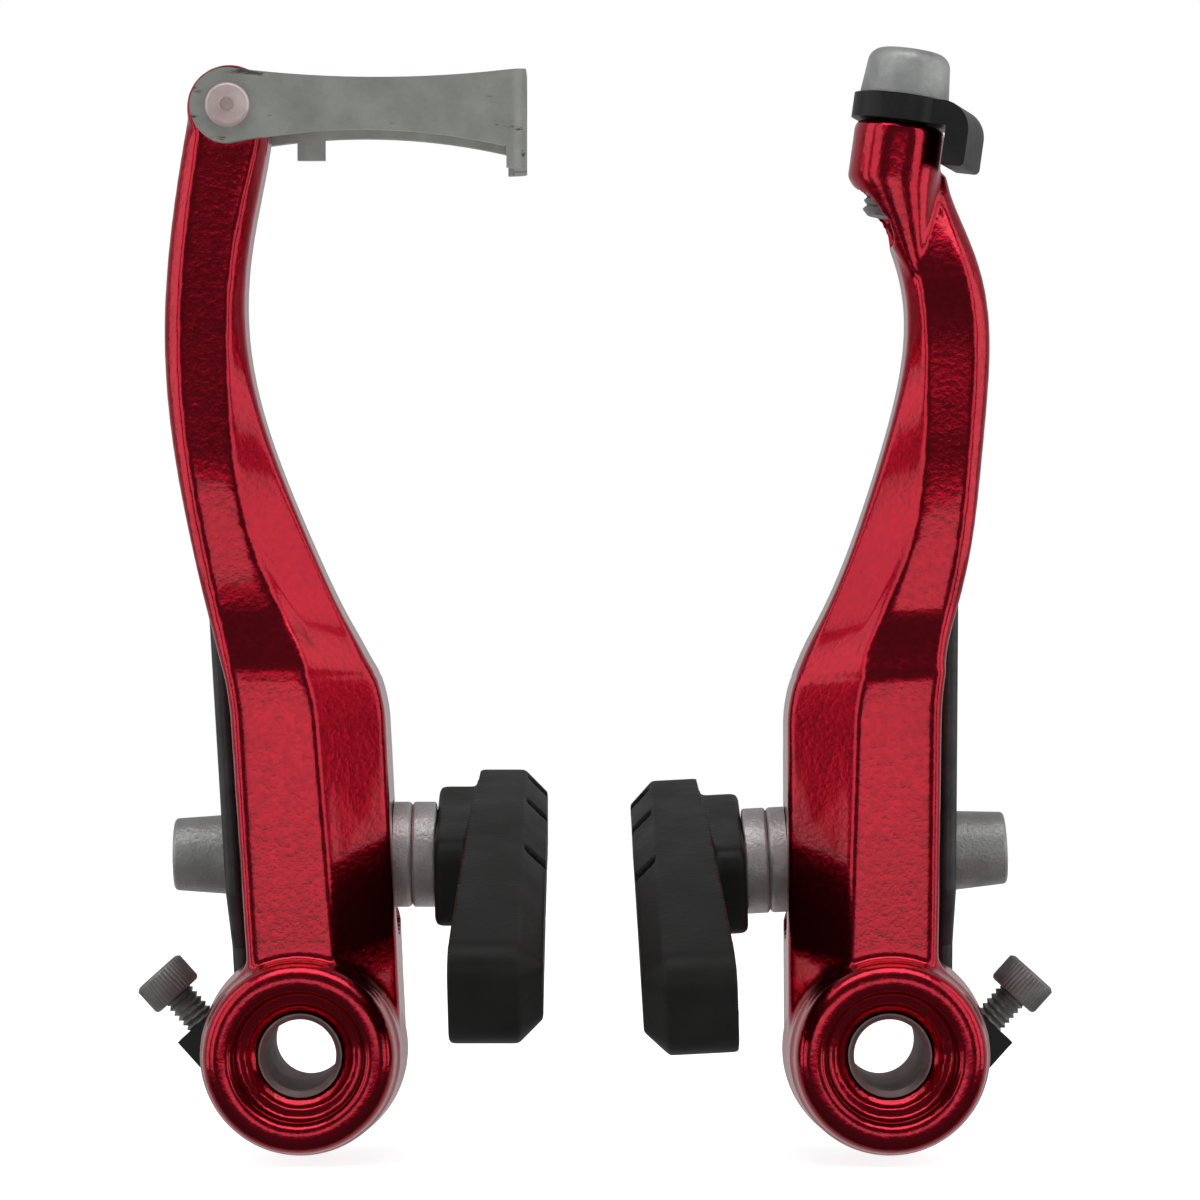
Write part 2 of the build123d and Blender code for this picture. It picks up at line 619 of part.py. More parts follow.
def make_pad():
    """Arched rubber pad with a bevelled face, grooves and a raised boss round its stud."""
    pitch = radians(PAD_PITCH)
    along = (0, cos(pitch), sin(pitch))
    middle = (PAD_BACK - PAD_THICKNESS, STUD_DEPTH, STUD_HEIGHT)
    face_plane = Plane(origin=middle, x_dir=along, z_dir=(1, 0, 0))
    plan_plane = Plane(origin=middle, x_dir=along, z_dir=(0, sin(pitch), -cos(pitch)))
    boss_half = PAD_BOSS_LENGTH / 2
    with BuildPart() as pad:
        extrude(arched_band(face_plane, PAD_FRONT, PAD_REAR, PAD_HEIGHT, PAD_END_ROUND),
                amount=PAD_DEPTH_FRONT)
        chamfer(pad.faces().sort_by(Axis.X)[0].edges(), PAD_BEVEL)
        # the back slopes down towards the rear end
        with BuildSketch(plan_plane):
            with BuildLine():
                Polyline((-PAD_FRONT, PAD_DEPTH_FRONT), (PAD_REAR, PAD_DEPTH_REAR),
                         (PAD_REAR + PAD_BEVEL, PAD_DEPTH_REAR), (PAD_REAR + PAD_BEVEL, PAD_DEPTH_FRONT),
                         close=True)
            make_face()
        extrude(amount=PAD_HEIGHT, both=True, mode=Mode.SUBTRACT)
        boss = arched_band(face_plane.offset(PAD_DEPTH_REAR / 2), boss_half, boss_half, PAD_BOSS_WIDTH,
                           PAD_BOSS_ROUND)
        extrude(boss, amount=PAD_THICKNESS - PAD_DEPTH_REAR / 2)
        fillet(pad.faces().sort_by(Axis.X)[-1].edges(), PAD_BOSS_EDGE)
        with BuildSketch(face_plane):
            for place in GROOVE_PLACES:
                with Locations(Location(arch_point(place, 0), -place / PAD_ARCH * 180 / pi)):
                    Rectangle(GROOVE_WIDTH, 2 * PAD_HEIGHT)
        extrude(amount=GROOVE_DEPTH, mode=Mode.SUBTRACT)
        # seat of the stud and its flange
        with BuildSketch(across(PAD_BACK)):
            Circle(STUD_DIAMETER / 2 + BALL_GAP)
        extrude(amount=-FLANGE_DEPTH, mode=Mode.SUBTRACT)
        with BuildSketch(across(PAD_BACK - FLANGE_DEPTH + BALL_GAP)):
            Circle(FLANGE_DIAMETER / 2 + BALL_GAP)
        extrude(amount=-FLANGE_THICKNESS - 2 * BALL_GAP, mode=Mode.SUBTRACT)
    return pad.part


def make_link():
    """Folded sheet link: two waisted plates either side of the arm and a web with the noodle seat."""
    inside = ARM_TOP_HALF + LINK_GAP
    outside = inside + SHEET
    end = LINK_PIVOT_OUT - LINK_REACH
    start = LINK_PIVOT_OUT + LINK_END_RADIUS
    height = LINK_WEB_TOP - LINK_WEB_BOTTOM
    side = Plane(origin=(LINK_PIVOT_OUT, 0, LINK_PIVOT_HEIGHT), x_dir=(1, 0, 0), z_dir=(0, -1, 0))
    web = Plane(origin=(end, 0, LINK_PIVOT_HEIGHT), x_dir=(0, 1, 0), z_dir=(1, 0, 0))
    with BuildPart() as link:
        with BuildSketch(Plane.XY.offset(LINK_PIVOT_HEIGHT + LINK_WEB_BOTTOM)):
            with BuildLine():
                outer = FilletPolyline((start, -outside), (end, -outside), (end, outside),
                                       (start, outside), radius=LINK_BEND)
                inner = FilletPolyline((start, inside), (end + SHEET, inside), (end + SHEET, -inside),
                                       (start, -inside), radius=LINK_BEND - SHEET)
                Line(outer @ 1, inner @ 0)
                Line(inner @ 1, outer @ 0)
            make_face()
        extrude(amount=height)
        with BuildSketch(side):
            with BuildLine():
                top = ThreePointArc((-LINK_REACH, LINK_WEB_TOP), (-LINK_WAIST, LINK_WAIST_TOP),
                                    (0, LINK_END_RADIUS))
                nose = ThreePointArc(top @ 1, (LINK_END_RADIUS, 0), (0, -LINK_END_RADIUS))
                low = ThreePointArc(nose @ 1, (-LINK_WAIST, LINK_WAIST_BOTTOM),
                                    (LINK_BEND - LINK_REACH, LINK_PLATE_BOTTOM))
                Polyline(low @ 1, (LINK_BEND - LINK_REACH, LINK_WEB_BOTTOM),
                         (-LINK_REACH, LINK_WEB_BOTTOM), top @ 0)
            make_face()
        extrude(amount=outside, both=True, mode=Mode.INTERSECT)
        # stop tab below the back plate
        with BuildSketch(side.offset(-inside)):
            with Locations((-TAB_OUT, (LINK_WAIST_BOTTOM + TAB_BOTTOM) / 2 + SHEET / 2)):
                Rectangle(TAB_WIDTH, LINK_WAIST_BOTTOM - TAB_BOTTOM + SHEET)
        extrude(amount=-SHEET)
        with BuildSketch(side):
            Circle(RIVET_DIAMETER / 2 + RUNNING_CLEARANCE)
        extrude(amount=outside, both=True, mode=Mode.SUBTRACT)
        # noodle seat with the slit for the cable
        with BuildSketch(web):
            Circle(NOODLE_HOLE / 2)
            with Locations((0, LINK_WEB_BOTTOM / 2)):
                Rectangle(CABLE_SLIT, -LINK_WEB_BOTTOM)
        extrude(amount=SHEET, mode=Mode.SUBTRACT)
    return link.part


def make_rivet():
    """Rivet that the link turns on, a low head at each end."""
    reach = ARM_TOP_HALF + LINK_GAP + SHEET + RIVET_GAP
    head = reach + RIVET_HEAD_HEIGHT
    plane = Plane(origin=(LINK_PIVOT_OUT, 0, LINK_PIVOT_HEIGHT), x_dir=(1, 0, 0), z_dir=(0, -1, 0))
    with BuildPart() as rivet:
        with BuildSketch(plane):
            Circle(RIVET_DIAMETER / 2)
        extrude(amount=reach, both=True)
        with BuildSketch(plane.offset(reach), plane.offset(-head)):
            Circle(RIVET_HEAD_DIAMETER / 2)
        extrude(amount=RIVET_HEAD_HEIGHT)
        ends = rivet.edges().filter_by(GeomType.CIRCLE).group_by(Axis.Y)
        fillet(ends[0] + ends[-1], RIVET_ROUND)
        with BuildSketch(plane.offset(head)):
            Circle(RIVET_DIMPLE_DIAMETER / 2)
        extrude(amount=-RIVET_DIMPLE, mode=Mode.SUBTRACT)
    return rivet.part


def make_anchor_bolt():
    """Cable anchor bolt with a domed socket head."""
    with BuildPart() as bolt:
        with BuildSketch(ANCHOR_PLANE):
            Circle(BOLT_HEAD_DIAMETER / 2)
        extrude(amount=BOLT_HEAD_HEIGHT, taper=BOLT_HEAD_TAPER)
        top = bolt.faces().sort_by(Axis.Z)[-1]
        fillet(top.edges(), BOLT_ROUND)
        with BuildSketch(ANCHOR_PLANE.offset(BOLT_HEAD_HEIGHT)):
            RegularPolygon(BOLT_SOCKET / 2, 6, major_radius=False)
        extrude(amount=-BOLT_SOCKET_DEPTH, mode=Mode.SUBTRACT)
        with BuildSketch(ANCHOR_PLANE):
            Circle(BOLT_DIAMETER / 2)
        extrude(amount=-BOLT_LENGTH)
    return bolt.part


def make_anchor_plate():
    """Cable plate under the bolt head, its hook turned down over the outer side of the boss."""
    reach = ANCHOR_PLANE.x_dir.rotate(Axis((0, 0, 0), ANCHOR_PLANE.z_dir), -HOOK_TURN)
    seat = ANCHOR_PLANE.offset(-PLATE_GAP - PLATE_THICKNESS)
    low = Plane(origin=seat.origin, x_dir=reach, z_dir=seat.z_dir)
    with BuildPart() as plate:
        with BuildSketch(low):
            RectangleRounded(PLATE_WIDTH, PLATE_WIDTH, PLATE_CORNER)
            with Locations((HOOK_REACH / 2, 0)):
                Rectangle(HOOK_REACH, HOOK_WIDTH)
            Circle(BOLT_DIAMETER / 2 + PLATE_GAP, mode=Mode.SUBTRACT)
        extrude(amount=PLATE_THICKNESS)
        with BuildSketch(low):
            with Locations((HOOK_REACH - HOOK_THICKNESS / 2, 0)):
                Rectangle(HOOK_THICKNESS, HOOK_WIDTH)
        extrude(amount=-HOOK_DROP)
        rims = plate.faces().sort_by(Axis.X)[-1].edges().sort_by(Axis.Z)
        fillet(rims[-1], HOOK_ROUND)
        rims = plate.faces().sort_by(Axis.Z)[0].edges().sort_by(Axis.X)
        fillet(rims[-1], HOOK_EDGE)
    return plate.part


def on_left(piece):
    """The mirror image of a piece, at the left pivot."""
    return Pos(-PIVOT_SPACING / 2, 0, 0) * mirror(piece, about=Plane.YZ)


def on_right(piece, swing=0.0):
    """A piece at the right pivot, swung inwards by an angle."""
    return Pos(PIVOT_SPACING / 2, 0, 0) * Rot(0, -swing, 0) * piece


def save(piece, name):
    """Writes one named piece."""
    piece.label = name
    export_step(piece, f"parts/{name}.step")


os.makedirs("parts", exist_ok=True)

# Pieces that ride on an arm, and so swing with it, are the same on both sides
arm_pieces = {
    "return_spring": make_spring(),
    "pad": make_pad(),
    "pad_stud": make_pad_stud(),
    "inner_convex_washer": make_convex_washer(SEAT_OUT, -1),
    "inner_concave_washer": make_concave_washer(SEAT_OUT, -1),
    "outer_convex_washer": make_convex_washer(POCKET_FLOOR, 1),
    "outer_concave_washer": make_concave_washer(POCKET_FLOOR, 1),
    "pad_nut": make_pad_nut(),
}
for name, piece in arm_pieces.items():
    save(on_left(piece), f"left_{name}")
    save(on_right(piece, RIGHT_SWING), f"right_{name}")

# Pieces that stay on the fork
fork_pieces = {
    "pivot_bush": make_bush(),
    "stop_plate": make_stop_plate(),
    "tension_screw": make_tension_screw(),
}
for name, piece in fork_pieces.items():
    save(on_left(piece), f"left_{name}")
    save(on_right(piece), f"right_{name}")
save(on_left(make_spring_holder(0.0)), "left_spring_holder")
save(on_right(make_spring_holder(RIGHT_SWING)), "right_spring_holder")

save(on_left(make_left_arm()), "left_arm")
save(on_left(make_link()), "noodle_link")
save(on_left(make_rivet()), "link_rivet")
save(on_right(make_right_arm(), RIGHT_SWING), "right_arm")
save(on_right(make_anchor_bolt(), RIGHT_SWING), "anchor_bolt")
save(on_right(make_anchor_plate(), RIGHT_SWING), "anchor_plate")
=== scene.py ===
import bmesh
import bpy
import json
from math import atan, cos, hypot, pi, radians, sin
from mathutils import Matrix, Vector


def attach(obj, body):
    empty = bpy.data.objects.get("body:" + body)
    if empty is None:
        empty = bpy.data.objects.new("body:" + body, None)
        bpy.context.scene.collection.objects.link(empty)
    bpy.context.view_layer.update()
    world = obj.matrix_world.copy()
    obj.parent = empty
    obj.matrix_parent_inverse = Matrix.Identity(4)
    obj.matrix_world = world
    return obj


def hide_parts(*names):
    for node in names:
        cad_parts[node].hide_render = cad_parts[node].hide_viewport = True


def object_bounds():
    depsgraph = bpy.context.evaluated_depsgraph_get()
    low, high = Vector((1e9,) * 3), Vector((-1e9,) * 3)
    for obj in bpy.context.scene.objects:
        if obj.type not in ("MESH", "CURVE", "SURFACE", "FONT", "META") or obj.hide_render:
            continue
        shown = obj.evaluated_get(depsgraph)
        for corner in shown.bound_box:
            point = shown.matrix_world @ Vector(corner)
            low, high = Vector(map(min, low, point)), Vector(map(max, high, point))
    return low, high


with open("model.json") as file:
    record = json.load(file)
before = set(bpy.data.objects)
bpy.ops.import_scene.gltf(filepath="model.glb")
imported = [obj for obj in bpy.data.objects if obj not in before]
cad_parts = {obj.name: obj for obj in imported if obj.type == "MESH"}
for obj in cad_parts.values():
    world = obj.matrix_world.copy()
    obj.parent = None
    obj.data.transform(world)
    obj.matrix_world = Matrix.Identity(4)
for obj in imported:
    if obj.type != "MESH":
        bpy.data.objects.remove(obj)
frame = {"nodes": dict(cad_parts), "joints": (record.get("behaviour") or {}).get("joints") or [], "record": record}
cad_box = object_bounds()
scene = bpy.context.scene
joint_of = {joint["name"]: joint for joint in frame["joints"]}

# Sizes in millimetres, on an arm: out from its pivot, depth to the back and height
MM = 0.001
SIDES = (("left", -1.0), ("right", 1.0))
PIVOT_OUT = 33.35
VOXEL_ARM = 0.35
VOXEL_PAD = 0.3
EASE_ARM = 12              # rounds of smoothing
EASE_PAD = 4

# Seats of the pad washers, which stay crisp
PAD_HEIGHT = 22.0
PAD_DEPTH = 6.3
PAD_TRAVEL = 3.0
SEAT_OUT = -10.1           # flat seat of the inner washer
SEAT_RADIUS = 6.3
SEAT_CLEAR = 0.04
SEAT_LIP = 0.5
SEAT_OUTER = 0.0           # seats lie further out than this, or further in than the next
SEAT_INNER = -9.4
SEAT_FRONT = -2.5
SEAT_HALF = 12.5

# Bend of the arm: where each edge is, how it leans below and above, and how it turns
BEND_HEIGHT = 43.0
BEND_SPREAD = 5.5
INNER_AT, INNER_BELOW, INNER_ABOVE, INNER_TURN = -9.2, 0.049, 0.71, 0.66
CREASE_AT, CREASE_BELOW, CREASE_ABOVE, CREASE_TURN = -1.2, 0.086, 0.58, 0.49
OUTER_AT, OUTER_BELOW, OUTER_ABOVE, OUTER_TURN = 8.2, 0.067, 0.37, 0.30
FRONT_TURN = 0.105
PLATEAU = -9.0
FLANK_DEPTH = -3.2
OUTER_FLANK = (-2.0, -5.0)  # depths between which the outer flank starts to follow
BACK_FADE = 5.0

# Hollow of the front face above the bend
DISH_DEPTH = 1.1
DISH_LOW = 7.5
DISH_END = 25.0
DISH_FRONT = -7.0

# Tension screws: a place along the axis is from the middle of the head
SCREW_SOCKET = 3.0
SCREW_SOCKET_FLOOR = -0.05
SCREW_HEAD_HALF = 1.85
SCREW_HEAD_RADIUS = 3.25
SCREW_KNURL_DEPTH = 0.16
SCREW_KNURLS = 44
SCREW_THREAD = (1.95, 0.42, 0.75)  # radius, depth and pitch
SCREW_END = 11.65
SCREW_SEGMENTS = 132

# Anchor bolt: a place along the axis is from the underside of the head
BOLT_SOCKET = 5.0
BOLT_SOCKET_FLOOR = 2.5
BOLT_HEAD_HEIGHT = 5.5
BOLT_ROUND = 1.7
BOLT_ROUND_RADIUS = 3.042  # to the middle of the rounding
BOLT_RADIUS = 3.0
BOLT_THREAD = (BOLT_RADIUS, 0.5, 1.0)
BOLT_THREAD_START = 6.7
BOLT_THREAD_STEP = 0.125
BOLT_THREAD_RINGS = 54
BOLT_END = 13.8
BOLT_SEGMENTS = 120
SHARP_ANGLE = 38.0

# Stage and camera, in metres
FLOOR_RADIUS = 0.6
FLOOR_GAP = 0.0004
AIM = (0.0, 0.0, 0.05)
CAMERA_DISTANCE = 0.53
CAMERA_OUT = 0.00056
CAMERA_HEIGHT = 0.0515
FRAME_WIDTH = 0.1376
BUMP_DISTANCE = 0.0002


# Materials

def new_material(name):
    """A material with its node tree and its Principled shader."""
    material = bpy.data.materials.new(name)
    material.use_nodes = True
    tree = material.node_tree
    shader = tree.nodes["Principled BSDF"]
    return material, tree, shader


def place(tree, kind, **values):
    """Adds a node and sets its inputs or properties by name."""
    node = tree.nodes.new(kind)
    for key, value in values.items():
        if key in node.inputs:
            node.inputs[key].default_value = value
        else:
            setattr(node, key, value)
    return node


def noise(tree, coords, scale, detail=3.0, roughness=0.55):
    """A noise texture on object coordinates, scale in cells per metre."""
    node = place(tree, "ShaderNodeTexNoise", Scale=scale, Detail=detail, Roughness=roughness)
    tree.links.new(coords.outputs["Object"], node.inputs["Vector"])
    return node


def ramp(tree, source, stops):
    """A colour ramp over a value, stops being (position, colour)."""
    node = tree.nodes.new("ShaderNodeValToRGB")
    elements = node.color_ramp.elements
    while len(elements) < len(stops):
        elements.new(0.5)
    for element, (position, colour) in zip(elements, stops):
        element.position = position
        element.color = (*colour, 1.0)
    tree.links.new(source, node.inputs["Fac"])
    return node


def grey(value):
    """A colour with three equal parts."""
    return (value, value, value)


def bump(tree, shader, sources):
    """Chains bumps from (value socket, strength) pairs."""
    last = None
    for source, strength in sources:
        node = place(tree, "ShaderNodeBump", Strength=strength, Distance=BUMP_DISTANCE)
        tree.links.new(source, node.inputs["Height"])
        if last is not None:
            tree.links.new(last.outputs["Normal"], node.inputs["Normal"])
        last = node
    tree.links.new(last.outputs["Normal"], shader.inputs["Normal"])


def make_red():
    """Red gloss finish over bright metal, with fine grain and a clear coat."""
    material, tree, shader = new_material("red_finish")
    shader.inputs["Metallic"].default_value = 1.0
    shader.inputs["Coat Weight"].default_value = 0.5
    shader.inputs["Coat Roughness"].default_value = 0.08
    coords = tree.nodes.new("ShaderNodeTexCoord")
    tint = noise(tree, coords, 60.0)
    reds = [(0.3, (0.44, 0.005, 0.022)), (0.7, (0.54, 0.007, 0.028))]
    colour = ramp(tree, tint.outputs["Fac"], reds)
    tree.links.new(colour.outputs["Color"], shader.inputs["Base Color"])
    grain = noise(tree, coords, 1500.0, 2.0)
    peel = noise(tree, coords, 420.0, 2.0)
    rough = ramp(tree, grain.outputs["Fac"], [(0.3, grey(0.17)), (0.75, grey(0.27))])
    tree.links.new(rough.outputs["Color"], shader.inputs["Roughness"])
    bump(tree, shader, [(grain.outputs["Fac"], 0.22), (peel.outputs["Fac"], 0.12)])
    return material


def make_metal(name, dark, light, roughness, grain_scale, grain_strength, metallic, edge=1.0):
    """Metal in patches from dark to light, with grain in its sheen and surface."""
    material, tree, shader = new_material(name)
    shader.inputs["Metallic"].default_value = metallic
    shader.inputs["Specular Tint"].default_value = (edge, edge, edge, 1.0)
    coords = tree.nodes.new("ShaderNodeTexCoord")
    patch = noise(tree, coords, 240.0, 5.0)
    colour = ramp(tree, patch.outputs["Fac"], [(0.3, dark), (0.7, light)])
    tree.links.new(colour.outputs["Color"], shader.inputs["Base Color"])
    grain = noise(tree, coords, grain_scale, 3.0)
    rough = ramp(tree, grain.outputs["Fac"], [(0.3, grey(roughness[0])), (0.7, grey(roughness[1]))])
    tree.links.new(rough.outputs["Color"], shader.inputs["Roughness"])
    bump(tree, shader, [(grain.outputs["Fac"], grain_strength)])
    return material


def make_sheet():
    """Dull sheet steel with dark scuffs in short streaks and specks of grime."""
    material, tree, shader = new_material("sheet_steel")
    shader.inputs["Metallic"].default_value = 0.6
    coords = tree.nodes.new("ShaderNodeTexCoord")
    patch = noise(tree, coords, 240.0, 5.0)
    greys = [(0.3, (0.29, 0.30, 0.275)), (0.7, (0.40, 0.41, 0.38))]
    steel = ramp(tree, patch.outputs["Fac"], greys)
    stretch = place(tree, "ShaderNodeMapping", Scale=(0.32, 1.0, 1.25))
    tree.links.new(coords.outputs["Object"], stretch.inputs["Vector"])
    scuff = place(tree, "ShaderNodeTexNoise", Scale=520.0, Detail=4.0, Roughness=0.6)
    tree.links.new(stretch.outputs["Vector"], scuff.inputs["Vector"])
    marks = ramp(tree, scuff.outputs["Fac"], [(0.645, grey(1.0)), (0.70, grey(0.28))])
    worn = place(tree, "ShaderNodeMix", data_type="RGBA", blend_type="MULTIPLY")
    worn.inputs["Factor"].default_value = 1.0
    tree.links.new(steel.outputs["Color"], worn.inputs["A"])
    tree.links.new(marks.outputs["Color"], worn.inputs["B"])
    tree.links.new(worn.outputs["Result"], shader.inputs["Base Color"])
    grain = noise(tree, coords, 1800.0, 3.0)
    rough = ramp(tree, grain.outputs["Fac"], [(0.3, grey(0.42)), (0.7, grey(0.58))])
    tree.links.new(rough.outputs["Color"], shader.inputs["Roughness"])
    bump(tree, shader, [(grain.outputs["Fac"], 0.15), (scuff.outputs["Fac"], 0.1)])
    return material


def make_black(name, base, roughness, grain_scale, grain_strength):
    """Black plastic or rubber with a dull sheen that varies in patches."""
    material, tree, shader = new_material(name)
    shader.inputs["Specular IOR Level"].default_value = 0.27
    coords = tree.nodes.new("ShaderNodeTexCoord")
    patch = noise(tree, coords, 130.0, 4.0)
    worn = tuple(1.6 * part for part in base)
    colour = ramp(tree, patch.outputs["Fac"], [(0.3, base), (0.75, worn)])
    tree.links.new(colour.outputs["Color"], shader.inputs["Base Color"])
    rough = ramp(tree, patch.outputs["Fac"], [(0.3, grey(roughness[0])), (0.7, grey(roughness[1]))])
    tree.links.new(rough.outputs["Color"], shader.inputs["Roughness"])
    grain = noise(tree, coords, grain_scale, 3.0)
    bump(tree, shader, [(grain.outputs["Fac"], grain_strength)])
    return material


plated = make_metal("plated_steel", (0.30, 0.31, 0.305), (0.48, 0.49, 0.48),
                    (0.38, 0.56), 2600.0, 0.55, 0.8)
rivet = make_metal("rivet_steel", (0.50, 0.38, 0.37), (0.74, 0.64, 0.62),
                   (0.34, 0.5), 1800.0, 0.15, 0.6)
bush = make_metal("bush_steel", (0.26, 0.185, 0.185), (0.42, 0.32, 0.32),
                  (0.40, 0.55), 1800.0, 0.1, 0.85, 0.35)
black = make_metal("black_steel", (0.030, 0.028, 0.030), (0.055, 0.052, 0.054),
                   (0.30, 0.46), 1800.0, 0.1, 0.4)
looks = {
    "red_finish": make_red(),
    "plated_steel": plated,
    "sheet_steel": make_sheet(),
    "rivet_steel": rivet,
    "bush_steel": bush,
    "black_steel": black,
    "black_plastic": make_black("black_plastic", (0.010, 0.010, 0.0105), (0.30, 0.45), 2200.0, 0.12),
    "pad_rubber": make_black("pad_rubber", (0.0075, 0.0072, 0.0068), (0.42, 0.60), 1500.0, 0.18),
}
# Painted light: a lighter copy of the plated steel for the washers, brightened to make up for the shade they sit
# in between arm and pad.
washer_lit_look = make_metal("washer_painted_light_steel", (0.44, 0.42, 0.42), (0.64, 0.615, 0.61),
                         (0.38, 0.56), 2600.0, 0.5, 0.8)
bolt_look = make_metal("bolt_steel", (0.32, 0.33, 0.325), (0.50, 0.51, 0.50),
                       (0.42, 0.60), 1400.0, 0.4, 0.65)
# Darker steel of the tension screws, also used as painted shade on the threaded shaft of the anchor bolt.
screw_and_thread_shade_look = make_metal("screw_and_thread_shade_steel", (0.22, 0.21, 0.208), (0.36, 0.35, 0.345),
                        (0.38, 0.55), 2600.0, 0.4, 0.8)
slot_of = {entry["node"]: entry["material_slot"] for entry in frame["record"]["subparts"]}
for name, node in frame["nodes"].items():
    node.data.materials.clear()
    node.data.materials.append(washer_lit_look if name.endswith("washer") else looks[slot_of[name]])


# Pieces with finer forms than their solids

def add_piece(name, mesh, slot, body, *nodes, look=None):
    """Links a mesh as a piece that stands for nodes and rides on a body."""
    mesh.materials.clear()
    mesh.materials.append(look or looks[slot])
    piece = bpy.data.objects.new(name, mesh)
    scene.collection.objects.link(piece)
    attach(piece, body)
    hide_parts(*nodes)


def welded(node):
    """A bmesh of a node's triangles, joined at their corners."""
    bm = bmesh.new()
    bm.from_mesh(frame["nodes"][node].data)
    bmesh.ops.remove_doubles(bm, verts=bm.verts, dist=1e-6)
    return bm


def settled(rough):
    """The mesh an object's modifiers make, its object and old mesh taken away."""
    mesh = rough.data
    shaped = rough.evaluated_get(bpy.context.evaluated_depsgraph_get())
    result = bpy.data.meshes.new_from_object(shaped)
    bpy.data.objects.remove(rough)
    bpy.data.meshes.remove(mesh)
    return result


def softened(name, bm, voxel, rounds, kept=None):
    """A mesh remade in even quads with its edges eased, but not where kept(point) is true."""
    mesh = bpy.data.meshes.new(name)
    bm.to_mesh(mesh)
    bm.free()
    rough = bpy.data.objects.new(name + "_rough", mesh)
    scene.collection.objects.link(rough)
    remesh = rough.modifiers.new("even", "REMESH")
    remesh.mode = "VOXEL"
    remesh.voxel_size = voxel * MM
    mesh = settled(rough)
    rough = bpy.data.objects.new(name + "_even", mesh)
    scene.collection.objects.link(rough)
    eased = rough.vertex_groups.new(name="eased")
    free = [vertex.index for vertex in mesh.vertices if not (kept and kept(vertex.co))]
    eased.add(free, 1.0, "REPLACE")
    ease = rough.modifiers.new("ease", "SMOOTH")
    ease.factor = 0.5
    ease.iterations = rounds
    ease.vertex_group = "eased"
    result = settled(rough)
    result.name = name
    result.polygons.foreach_set("use_smooth", [True] * len(result.polygons))
    return result


def part_way(value, start, end):
    """How far a value is from start to end, from 0 to 1."""
    return min(1.0, max(0.0, (value - start) / (end - start)))


def arm_frame(sign, up):
    """Finds how far out, how deep and how high a point is on an arm, millimetres from its pivot."""
    up = Vector(up)
    out_way = Vector((sign * up.z, 0.0, -sign * up.x))
    pivot = Vector((sign * PIVOT_OUT, 0.0, 0.0))

    def find(point):
        spot = point / MM - pivot
        return spot.dot(out_way), spot.y, spot.dot(up)
    return find, out_way


def in_pad_seat(find):
    """Whether a point is in the machined seats the pad washers slide on."""
    def at(point):
        out, depth, height = find(point)
        beside = out > SEAT_OUTER or out < SEAT_INNER
        return beside and depth > SEAT_FRONT and abs(height - PAD_HEIGHT) < SEAT_HALF
    return at


def flatten_seat(mesh, find, out_way):
    """Clears the corner round the flat seat, so that the inner washer slides free to its ends."""
    for vertex in mesh.vertices:
        out, depth, height = find(vertex.co)
        reach = hypot(depth - PAD_DEPTH, max(0.0, abs(height - PAD_HEIGHT) - PAD_TRAVEL))
        floor = SEAT_OUT + SEAT_CLEAR
        if reach < SEAT_RADIUS and SEAT_OUT - SEAT_LIP < out < floor:
            vertex.co += out_way * ((floor - out) * MM)


def edge_at(rise, at, below, above):
    """Where an edge of the arm is, at a rise above its bend."""
    return at + (above if rise > 0.0 else below) * rise


def ease_bend(mesh, find, out_way):
    """Spreads the turn of the flanks over a length at the bend, and hollows the front above it."""
    for vertex in mesh.vertices:
        out, depth, height = find(vertex.co)
        rise = height - BEND_HEIGHT
        if 0.0 < rise < DISH_END:
            dish = part_way(rise, 0.0, DISH_LOW) * part_way(rise, DISH_END, DISH_LOW)
            share = part_way(depth, FLANK_DEPTH, DISH_FRONT)
            vertex.co.y += DISH_DEPTH * dish * dish * (3.0 - 2.0 * dish) * share * MM
        if abs(rise) >= BEND_SPREAD:
            continue
        spread = (BEND_SPREAD - abs(rise)) ** 2 / (4.0 * BEND_SPREAD)
        inner = edge_at(rise, INNER_AT, INNER_BELOW, INNER_ABOVE)
        crease = edge_at(rise, CREASE_AT, CREASE_BELOW, CREASE_ABOVE)
        outer = edge_at(rise, OUTER_AT, OUTER_BELOW, OUTER_ABOVE)
        if out < crease:
            turn = INNER_TURN - (INNER_TURN - CREASE_TURN) * part_way(out, inner, crease)
        else:
            share = max(part_way(depth, *OUTER_FLANK), part_way(out, crease + BACK_FADE, crease))
            turn = (CREASE_TURN - (CREASE_TURN - OUTER_TURN) * part_way(out, crease, outer)) * share
        vertex.co += out_way * (turn * spread * MM)
        vertex.co.y += FRONT_TURN * part_way(depth, FLANK_DEPTH, PLATEAU) * spread * MM
    mesh.update()


for side, sign in SIDES:
    find, out_way = arm_frame(sign, joint_of[f"{side}_pad_slide"]["axis"])
    name = f"{side}_arm_forging"
    arm = softened(name, welded(f"{side}_arm"), VOXEL_ARM, EASE_ARM, in_pad_seat(find))
    flatten_seat(arm, find, out_way)
    ease_bend(arm, find, out_way)
    add_piece(name, arm, "red_finish", f"{side}_arm", f"{side}_arm")
    name = f"{side}_pad_moulding"
    pad = softened(name, welded(f"{side}_pad"), VOXEL_PAD, EASE_PAD)
    add_piece(name, pad, "pad_rubber", f"{side}_pad", f"{side}_pad")


def hexagon(flats):
    """The radius of a hexagon across its flats, by angle."""
    return lambda angle: flats / 2.0 / cos((angle + pi / 6.0) % (pi / 3.0) - pi / 6.0)


def knurl(radius, depth, count):
    """A radius with fine ridges round it, by angle."""
    return lambda angle: radius - depth * (0.5 - 0.5 * cos(count * angle))


def thread(radius, depth, pitch, along):
    """The radius of a thread at a place along its axis, by angle."""
    def at(angle):
        phase = (along / pitch + angle / (2.0 * pi)) % 1.0
        return radius - depth * abs(2.0 * phase - 1.0)
    return at


